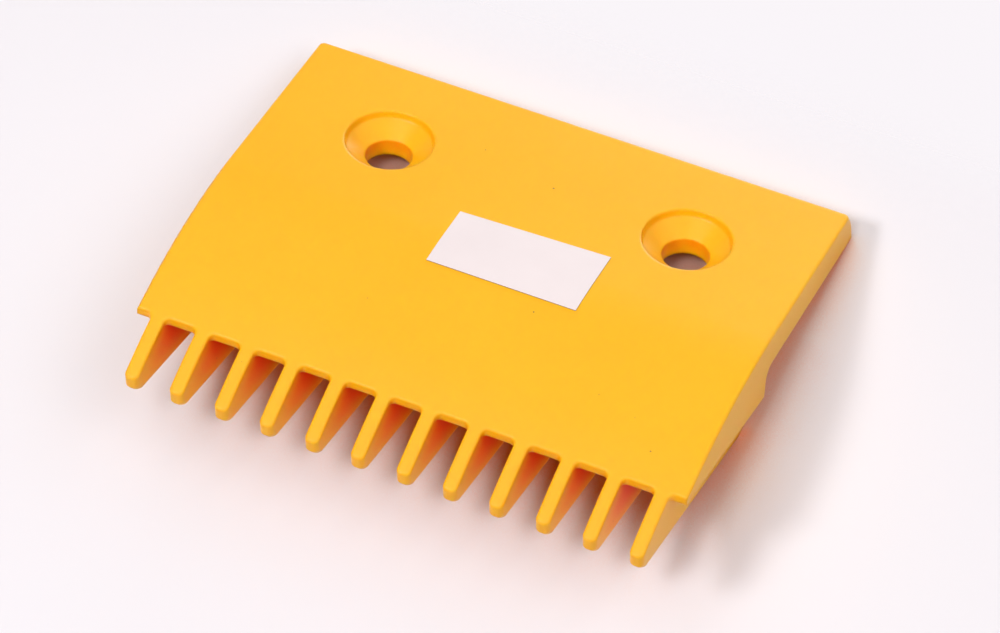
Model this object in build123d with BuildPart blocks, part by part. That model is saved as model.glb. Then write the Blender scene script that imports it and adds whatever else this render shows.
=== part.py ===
import os
from math import radians, sqrt, tan

from build123d import *

os.makedirs("parts", exist_ok=True)

# Driving sizes, in millimetres and degrees.
# +X runs along the row of teeth, +Y towards the back edge, +Z up out of the crown.
# The origin is midway between the two screw axes, on the face that seats on the carrier.

# Comb
tooth_pitch = 9.07
tooth_count = 12
tooth_width = 2.8
tooth_reach = 11.5
slot_corner_radius = 1.1
tip_corner_radius = 1.1

# Side profile
overall_length = 87.2
flange_length = 38.8
flange_thickness = 7.3
back_foot = 3.1
back_face_radius = 14.5
back_foot_chamfer = 0.9
crown_drop = 14.4
lip_thickness = 1.6
tread_angle = 6.6
nose_height = 2.6
nose_lean = 0.4
chin_height = 0.6
chin_setback = 0.9
heel_fillet = 2.5
rib_heel_radius = 3.0

# Flange and its screw holes
back_corner_radius = 1.0
edge_round = 0.5
screw_spacing = 60.5
screw_from_back = 20.3
screw_hole_radius = 4.5
rim_radius = 8.5
rim_depth = 1.3
head_seat_radius = 8.1
head_seat_depth = 2.5

# Paper label, cut by hand and a little out of square
label_x = 5.0
label_from_back = 47.5
label_length = 29.8
label_left_height = 14.7
label_right_height = 15.9
label_thickness = 0.15

# Places worked out from the driving sizes
plate_width = tooth_count * tooth_pitch
back_y = screw_from_back
heel_y = back_y - flange_length
tip_y = back_y - overall_length
root_y = tip_y + tooth_reach
crown_radius = ((heel_y - tip_y) ** 2 + crown_drop**2) / (2 * crown_drop)
clear = 5.0


def crown_z(y, lift=0.0):
    """Height of the crown's arc, which leaves the flat flange at the heel."""
    return flange_thickness - crown_radius + sqrt((crown_radius + lift) ** 2 - (heel_y - y) ** 2)


lip_z = crown_z(root_y) - lip_thickness
nose_z = crown_z(tip_y) - nose_height
chin_y = tip_y + chin_setback
chin_z = nose_z - chin_height


def ceiling_z(y):
    """Underside of the body between the ribs, parallel to the moving tread."""
    return lip_z - tan(radians(tread_angle)) * (y - root_y)


def rib_z(y):
    """Bottom line of the ribs, which runs back from the chin, parallel to the ceiling."""
    return chin_z - tan(radians(tread_angle)) * (y - chin_y)


# One gap between two teeth: a channel under the ceiling that breaks out through the crown
# at the root.
gap_width = tooth_pitch - tooth_width
gap_top_z = flange_thickness + clear
gap_bottom_z = rib_z(heel_y) - clear
gap_front_y = tip_y - clear
gap_back_y = heel_y + clear

with BuildPart() as gap:
    with BuildSketch(Plane.YZ):
        with BuildLine():
            Polyline(
                (gap_back_y, ceiling_z(gap_back_y)),
                (root_y, lip_z),
                (root_y, gap_top_z),
                (gap_front_y, gap_top_z),
                (gap_front_y, gap_bottom_z),
                (gap_back_y, gap_bottom_z),
                close=True,
            )
        make_face()
    extrude(amount=gap_width / 2, both=True)
    root_face = gap.faces().filter_by(Axis.Y).sort_by(Axis.Y)[1]
    fillet(root_face.edges().filter_by(Axis.Z), radius=slot_corner_radius)

# One screw hole as a cutting tool, countersunk below a short steep rim in the flange's top.
seat_bottom_z = flange_thickness - rim_depth - head_seat_depth

with BuildPart() as screw_seat:
    with BuildSketch(Plane.XZ):
        with BuildLine():
            Polyline(
                (0, gap_top_z),
                (rim_radius, gap_top_z),
                (rim_radius, flange_thickness),
                (head_seat_radius, flange_thickness - rim_depth),
                (screw_hole_radius, seat_bottom_z),
                (screw_hole_radius, -clear),
                (0, -clear),
                close=True,
            )
        make_face()
    revolve(axis=Axis.Z)

# The moulding: one side profile across the whole width, then the gaps, the rounded edges and the holes.
with BuildPart() as comb_plate:
    with BuildSketch(Plane.YZ) as side_profile:
        with BuildLine():
            flat = Line((back_y, flange_thickness), (heel_y, flange_thickness))
            crown = TangentArc(flat @ 1, (tip_y, crown_z(tip_y)), tangent=flat % 1)
            Polyline(
                crown @ 1,
                (tip_y + nose_lean, nose_z),
                (chin_y, chin_z),
                (heel_y, rib_z(heel_y)),
                (heel_y, 0),
                (back_y + back_foot - back_foot_chamfer, 0),
                (back_y + back_foot, back_foot_chamfer),
            )
            RadiusArc((back_y + back_foot, back_foot_chamfer), flat @ 0, -back_face_radius)
        make_face()
        heel_corners = side_profile.vertices().filter_by_position(Axis.X, heel_y - 0.1, heel_y + 0.1)
        fillet(heel_corners.sort_by(Axis.Y)[0], radius=rib_heel_radius)
        heel_corners = side_profile.vertices().filter_by_position(Axis.X, heel_y - 0.1, heel_y + 0.1)
        fillet(heel_corners.sort_by(Axis.Y)[-2], radius=heel_fillet)
    extrude(amount=plate_width / 2, both=True)
    with GridLocations(tooth_pitch, 0, tooth_count + 1, 1):
        add(gap.part, mode=Mode.SUBTRACT)

    back_face = comb_plate.faces().filter_by(GeomType.CYLINDER).sort_by(Axis.Y)[-1]
    fillet(back_face.edges().filter_by(Axis.X, reverse=True), radius=back_corner_radius)

    nose_faces = comb_plate.faces().filter_by_position(Axis.Y, tip_y - 0.1, tip_y + chin_setback)
    fillet(nose_faces.edges().filter_by(Axis.X, reverse=True), radius=tip_corner_radius)

    crown_face = comb_plate.faces().filter_by(GeomType.CYLINDER).sort_by(SortBy.AREA)[-1]
    flange_face = comb_plate.faces().filter_by(Axis.Z).sort_by(Axis.Z)[-1]
    outline = (crown_face.edges() + flange_face.edges()).filter_by(
        lambda edge: abs(edge.center().Y - heel_y) > edge_round
    )
    fillet(outline, radius=edge_round)

    with GridLocations(screw_spacing, 0, 2, 1):
        add(screw_seat.part, mode=Mode.SUBTRACT)

# The label lies on the flat of the flange and bends down over the start of the crown.
label_front_y = back_y - label_from_back
label_left_x = label_x - label_length / 2
label_right_x = label_x + label_length / 2
label_top_z = flange_thickness + label_thickness

with BuildPart() as paper_label:
    with BuildSketch(Plane.XY):
        with BuildLine():
            Polyline(
                (label_left_x, label_front_y),
                (label_right_x, label_front_y),
                (label_right_x, label_front_y + label_right_height),
                (label_left_x, label_front_y + label_left_height),
                close=True,
            )
        make_face()
    extrude(amount=gap_top_z)
    with BuildSketch(Plane.YZ):
        with BuildLine():
            under_flat = Line((back_y, flange_thickness), (heel_y, flange_thickness))
            under_crown = TangentArc(under_flat @ 1, (tip_y, crown_z(tip_y)), tangent=under_flat % 1)
            Line(under_crown @ 1, (tip_y, crown_z(tip_y, label_thickness)))
            over_flat = Line((back_y, label_top_z), (heel_y, label_top_z))
            TangentArc(over_flat @ 1, (tip_y, crown_z(tip_y, label_thickness)), tangent=over_flat % 1)
            Line(over_flat @ 0, under_flat @ 0)
        make_face()
    extrude(amount=plate_width, both=True, mode=Mode.INTERSECT)

pieces = {"comb_plate": comb_plate, "paper_label": paper_label}
for name, piece in pieces.items():
    piece.part.label = name
    export_step(piece.part, f"parts/{name}.step")
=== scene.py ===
from math import asin, atan2, cos, hypot, radians, sin

import bpy
from mathutils import Matrix, Vector

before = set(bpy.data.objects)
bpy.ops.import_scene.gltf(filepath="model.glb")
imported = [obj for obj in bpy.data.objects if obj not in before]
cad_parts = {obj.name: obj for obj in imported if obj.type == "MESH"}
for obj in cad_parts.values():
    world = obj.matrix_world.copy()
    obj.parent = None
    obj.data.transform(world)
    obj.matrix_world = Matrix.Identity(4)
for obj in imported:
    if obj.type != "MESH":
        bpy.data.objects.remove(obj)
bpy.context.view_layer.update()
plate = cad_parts["comb_plate"]
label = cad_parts["paper_label"]

MM = 0.001

# How the plate rests in the photograph: on the foot of its back edge and on the rounded heels of
# its ribs. In the side view both are circles, given as Y, Z and radius. The foot's is a point.
FOOT = (22.5 * MM, 0.0, 0.0)
RIB_HEEL = (-21.5 * MM, -12.43 * MM, 3.0 * MM)

# Camera, fitted to the photograph: its place, a point on its axis, the direction of the picture's
# right side, its lens and sensor in millimetres, and the range of distances that it sees.
CAMERA_PLACE = Vector((271.5, -686.7, 633.4)) * MM
CAMERA_AIM = Vector((-2.80, -7.16, -19.83)) * MM
CAMERA_RIGHT = Vector((0.90848, 0.41490, 0.05013))
CAMERA_LENS = 188.2
CAMERA_SENSOR = 36.0
CAMERA_RANGE = (0.01, 10.0)

# Colours in linear red, green and blue. Plastic and paper each waver between two.
YELLOW = (0.965, 0.445, 0.003)
YELLOW_BRIGHT = (0.975, 0.465, 0.006)
# Painted shade for the plastic deep in its gaps.
GAP_SHADE_ORANGE = (0.93, 0.06, 0.001)
DIRT = (0.30, 0.15, 0.03)
PAPER = (0.79, 0.69, 0.69)
PAPER_BRIGHT = (0.82, 0.72, 0.72)
# Painted shade for the label's cut edge.
PAPER_EDGE_SHADE = (0.36, 0.20, 0.13)
TABLE_WHITE = (0.83, 0.79, 0.82)
BACKDROP = (0.955, 0.915, 0.947)

# Plastic
GAP_DEPTH = 12.0 * MM
EDGE_SOFTNESS = 0.7 * MM
EDGE_SAMPLES = 6
GLOW_DEPTH = 2.0 * MM
OPENNESS_SAMPLES = 8

# Table: how far it reaches to the front and sides and to the back, where it fades out behind the
# plate, and how far the painted shadow of the plate reaches over it.
TABLE_REACH = 0.60
TABLE_BEHIND = 40.0 * MM
TABLE_FADE = (8.0 * MM, 32.0 * MM)
TABLE_SHADE_REACH = 20.0 * MM

# Lamps: how far they stand from the plate, and the sides of the two sizes of softbox.
LAMP_DISTANCE = 1.2
SMALL_BOX = 0.25
LARGE_BOX = 0.75

# Sockets of a node that mixes colours. They go by number, because their names aren't unique.
MIX_FACTOR, MIX_FIRST, MIX_SECOND, MIX_RESULT = 0, 6, 7, 2


def node_adder(tree):
    """Empties a node tree and gives back a function that adds a node to it.

    inputs maps sockets to values or to the outputs that feed them, settings are the node's own.
    """
    tree.nodes.clear()

    def add(kind, inputs=(), **settings):
        node = tree.nodes.new(kind)
        for key, value in settings.items():
            setattr(node, key, value)
        for key, value in dict(inputs).items():
            if isinstance(value, bpy.types.NodeSocket):
                tree.links.new(value, node.inputs[key])
            else:
                node.inputs[key].default_value = value
        return node

    return add


def new_material(name):
    material = bpy.data.materials.new(name)
    material.use_nodes = True
    return material, node_adder(material.node_tree)


def ramp(add, factor, stops):
    """A colour ramp over factor. stops is a list of (position, grey value or colour)."""
    node = add("ShaderNodeValToRGB", {"Fac": factor})
    points = node.color_ramp.elements
    while len(points) < len(stops):
        points.new(0.5)
    for point, (position, value) in zip(points, stops):
        colour = value if isinstance(value, tuple) else (value, value, value)
        point.position = position
        point.color = (*colour, 1.0)
    return node.outputs["Color"]


def tint(add, base, colour, factor):
    """base where factor is 0, colour where it is 1."""
    inputs = {MIX_FACTOR: factor, MIX_FIRST: base, MIX_SECOND: (*colour, 1.0)}
    return add("ShaderNodeMix", inputs, data_type="RGBA").outputs[MIX_RESULT]


def noise(add, place, scale, detail):
    inputs = {"Vector": place, "Scale": scale, "Detail": detail}
    return add("ShaderNodeTexNoise", inputs).outputs["Fac"]


def bump(add, height, strength, distance, normal=None):
    inputs = {"Height": height, "Strength": strength, "Distance": distance}
    if normal:
        inputs["Normal"] = normal
    return add("ShaderNodeBump", inputs).outputs["Normal"]


def yellow_plastic():
    material, add = new_material("yellow_plastic")
    place = add("ShaderNodeTexCoord").outputs["Object"]

    # Broad, faint unevenness of the moulding's colour and gloss.
    cloud = noise(add, place, scale=28.0, detail=3.0)
    base = ramp(add, cloud, [(0.30, YELLOW), (0.70, YELLOW_BRIGHT)])
    roughness = ramp(add, cloud, [(0.2, 0.30), (0.8, 0.36)])

    # Painted shade: where the gaps close the plastic in, its colour is tinted a deep orange red
    # that stands in for the darker, redder light down there.
    openness = add(
        "ShaderNodeAmbientOcclusion",
        {"Distance": GAP_DEPTH},
        samples=OPENNESS_SAMPLES,
        only_local=True,
    )
    gap_shade = ramp(add, openness.outputs["AO"], [(0.30, 1.0), (0.60, 0.0)])
    base = tint(add, base, GAP_SHADE_ORANGE, gap_shade)

    # Fine dark specks of dirt: a small dot in some of the cells only.
    cells = add("ShaderNodeTexVoronoi", {"Vector": place, "Scale": 380.0, "Randomness": 1.0})
    dot = ramp(add, cells.outputs["Distance"], [(0.045, 1.0), (0.085, 0.0)])
    draw = add("ShaderNodeSeparateColor", {"Color": cells.outputs["Color"]}).outputs["Red"]
    chosen = ramp(add, draw, [(0.965, 0.0), (0.985, 1.0)])
    speck = add("ShaderNodeMath", {0: dot, 1: chosen}, operation="MULTIPLY").outputs[0]
    base = tint(add, base, DIRT, speck)

    # The satin grain of the mould and a faint wave, over edges that are shaded a little rounder.
    edges = add("ShaderNodeBevel", {"Radius": EDGE_SOFTNESS}, samples=EDGE_SAMPLES)
    grain = noise(add, place, scale=2600.0, detail=2.0)
    wave = noise(add, place, scale=120.0, detail=2.0)
    fine = bump(add, grain, strength=0.06, distance=0.2 * MM, normal=edges.outputs["Normal"])
    surface = bump(add, wave, strength=0.10, distance=0.6 * MM, normal=fine)

    shader = add(
        "ShaderNodeBsdfPrincipled",
        {
            "Base Color": base,
            "Roughness": roughness,
            "IOR": 1.46,
            "Specular IOR Level": 0.30,
            "Subsurface Weight": 0.50,
            "Subsurface Radius": (1.0, 0.30, 0.03),
            "Subsurface Scale": GLOW_DEPTH,
            "Normal": surface,
        },
    )
    add("ShaderNodeOutputMaterial", {"Surface": shader.outputs[0]})
    return material


def label_paper():
    material, add = new_material("label_paper")
    place = add("ShaderNodeTexCoord").outputs["Object"]
    cloud = noise(add, place, scale=90.0, detail=2.0)
    base = ramp(add, cloud, [(0.3, PAPER), (0.7, PAPER_BRIGHT)])

    # Painted shade: the cut edge, which doesn't face up, is tinted a dark brown.
    normal = add("ShaderNodeNewGeometry").outputs["Normal"]
    facing_up = add("ShaderNodeSeparateXYZ", {"Vector": normal}).outputs["Z"]
    base = tint(add, base, PAPER_EDGE_SHADE, ramp(add, facing_up, [(0.45, 1.0), (0.60, 0.0)]))

    fibre = noise(add, place, scale=900.0, detail=4.0)
    surface = bump(add, fibre, strength=0.12, distance=0.1 * MM)
    shader = add(
        "ShaderNodeBsdfPrincipled",
        {"Base Color": base, "Roughness": 0.62, "IOR": 1.45, "Normal": surface},
    )
    add("ShaderNodeOutputMaterial", {"Surface": shader.outputs[0]})
    return material


def table_paint():
    """A white with the plate's shadow painted on it, clear behind the plate and from below."""
    material, add = new_material("table")

    # Painted shadow: where the plate closes the table in, its white is tinted dark red to pink,
    # standing in for the plate's shadow and the orange light that it throws.
    openness = add(
        "ShaderNodeAmbientOcclusion", {"Distance": TABLE_SHADE_REACH}, samples=OPENNESS_SAMPLES
    )
    colour = ramp(
        add,
        openness.outputs["AO"],
        [
            (0.20, (0.86, 0.62, 0.54)),
            (0.40, (0.82, 0.22, 0.07)),
            (0.50, (0.82, 0.44, 0.34)),
            (0.60, (0.81, 0.68, 0.62)),
            (0.72, (0.82, 0.77, 0.79)),
            (0.88, TABLE_WHITE),
        ],
    )
    white = add("ShaderNodeBsdfDiffuse", {"Color": colour})

    place = add("ShaderNodeTexCoord").outputs["Object"]
    behind = add("ShaderNodeSeparateXYZ", {"Vector": place}).outputs["Y"]
    fade_start, fade_end = TABLE_FADE
    fade = add(
        "ShaderNodeMapRange",
        {"Value": behind, "From Min": fade_start, "From Max": fade_end},
        interpolation_type="SMOOTHSTEP",
    )
    from_below = add("ShaderNodeNewGeometry").outputs["Backfacing"]
    unseen = add("ShaderNodeMath", {0: fade.outputs[0], 1: from_below}, operation="MAXIMUM")
    clear = add("ShaderNodeBsdfTransparent")
    shader = add(
        "ShaderNodeMixShader", {0: unseen.outputs[0], 1: white.outputs[0], 2: clear.outputs[0]}
    )
    add("ShaderNodeOutputMaterial", {"Surface": shader.outputs[0]})
    return material


def table_top():
    """One flat face that touches the foot and the heels from below, with its origin at the foot."""
    across = FOOT[0] - RIB_HEEL[0]
    rise = FOOT[1] - RIB_HEEL[1]
    tilt = atan2(rise, across) + asin((RIB_HEEL[2] - FOOT[2]) / hypot(across, rise))
    normal = Vector((0.0, -sin(tilt), cos(tilt)))
    contact = Vector((0.0, FOOT[0], FOOT[1])) - normal * FOOT[2]

    mesh = bpy.data.meshes.new("table")
    corners = [
        (-TABLE_REACH, -TABLE_REACH, 0.0),
        (TABLE_REACH, -TABLE_REACH, 0.0),
        (TABLE_REACH, TABLE_BEHIND, 0.0),
        (-TABLE_REACH, TABLE_BEHIND, 0.0),
    ]
    mesh.from_pydata(corners, [], [(0, 1, 2, 3)])
    mesh.materials.append(table_paint())
    table = bpy.data.objects.new("table", mesh)
    bpy.context.scene.collection.objects.link(table)
    table.matrix_world = Matrix.Translation(contact) @ Matrix.Rotation(tilt, 4, "X")


def studio_world():
    """A pale backdrop that is seen directly, in reflections and through clear parts, and that
    gives no light."""
    world = bpy.data.worlds.new("studio")
    bpy.context.scene.world = world
    world.use_nodes = True
    add = node_adder(world.node_tree)
    path = add("ShaderNodeLightPath").outputs
    direct = add(
        "ShaderNodeMath", {0: path["Is Camera Ray"], 1: path["Is Glossy Ray"]}, operation="ADD"
    )
    seen = add(
        "ShaderNodeMath", {0: direct.outputs[0], 1: path["Is Transmission Ray"]}, operation="ADD"
    )
    dark = add("ShaderNodeBackground", {"Strength": 0.0})
    pale = add("ShaderNodeBackground", {"Color": (*BACKDROP, 1.0), "Strength": 1.0})
    choose = add(
        "ShaderNodeMixShader", {0: seen.outputs[0], 1: dark.outputs[0], 2: pale.outputs[0]}
    )
    add("ShaderNodeOutputWorld", {"Surface": choose.outputs[0]})


def softbox(name, azimuth, elevation, size, power):
    """A square lamp that looks at the plate from azimuth and elevation, in degrees."""
    lamp = bpy.data.lights.new(name, "AREA")
    lamp.shape = "SQUARE"
    lamp.size = size
    lamp.energy = power
    holder = bpy.data.objects.new(name, lamp)
    bpy.context.scene.collection.objects.link(holder)
    a = radians(azimuth)
    e = radians(elevation)
    ray = Vector((cos(a) * cos(e), sin(a) * cos(e), sin(e)))
    holder.location = ray * LAMP_DISTANCE
    holder.rotation_euler = ray.to_track_quat("Z", "Y").to_euler()


def photo_camera():
    camera = bpy.data.cameras.new("camera")
    camera.sensor_width = CAMERA_SENSOR
    camera.lens = CAMERA_LENS
    camera.clip_start, camera.clip_end = CAMERA_RANGE
    viewpoint = bpy.data.objects.new("camera", camera)
    bpy.context.scene.collection.objects.link(viewpoint)
    back = (CAMERA_PLACE - CAMERA_AIM).normalized()
    right = (CAMERA_RIGHT - back * CAMERA_RIGHT.dot(back)).normalized()
    turn = Matrix((right, back.cross(right), back)).transposed().to_4x4()
    viewpoint.matrix_world = Matrix.Translation(CAMERA_PLACE) @ turn
    bpy.context.scene.camera = viewpoint


plate.material_slots[0].material = yellow_plastic()
label.material_slots[0].material = label_paper()
table_top()
studio_world()

# The small boxes in front draw the shadows between the teeth, the large ones fill them.
softbox("key", azimuth=272.0, elevation=46.0, size=SMALL_BOX, power=3.4)
softbox("left_low", azimuth=240.0, elevation=36.0, size=SMALL_BOX, power=6.0)
softbox("left_high", azimuth=240.0, elevation=65.0, size=LARGE_BOX, power=3.0)
softbox("right_high", azimuth=322.0, elevation=48.0, size=LARGE_BOX, power=4.0)
softbox("right_low", azimuth=350.0, elevation=40.0, size=LARGE_BOX, power=1.5)
softbox("right_back", azimuth=30.0, elevation=50.0, size=LARGE_BOX, power=1.4)
softbox("back_high", azimuth=150.0, elevation=65.0, size=LARGE_BOX, power=1.5)
softbox("back_low", azimuth=90.0, elevation=20.0, size=LARGE_BOX, power=6.5)

photo_camera()
bpy.context.scene.view_settings.view_transform = "Standard"
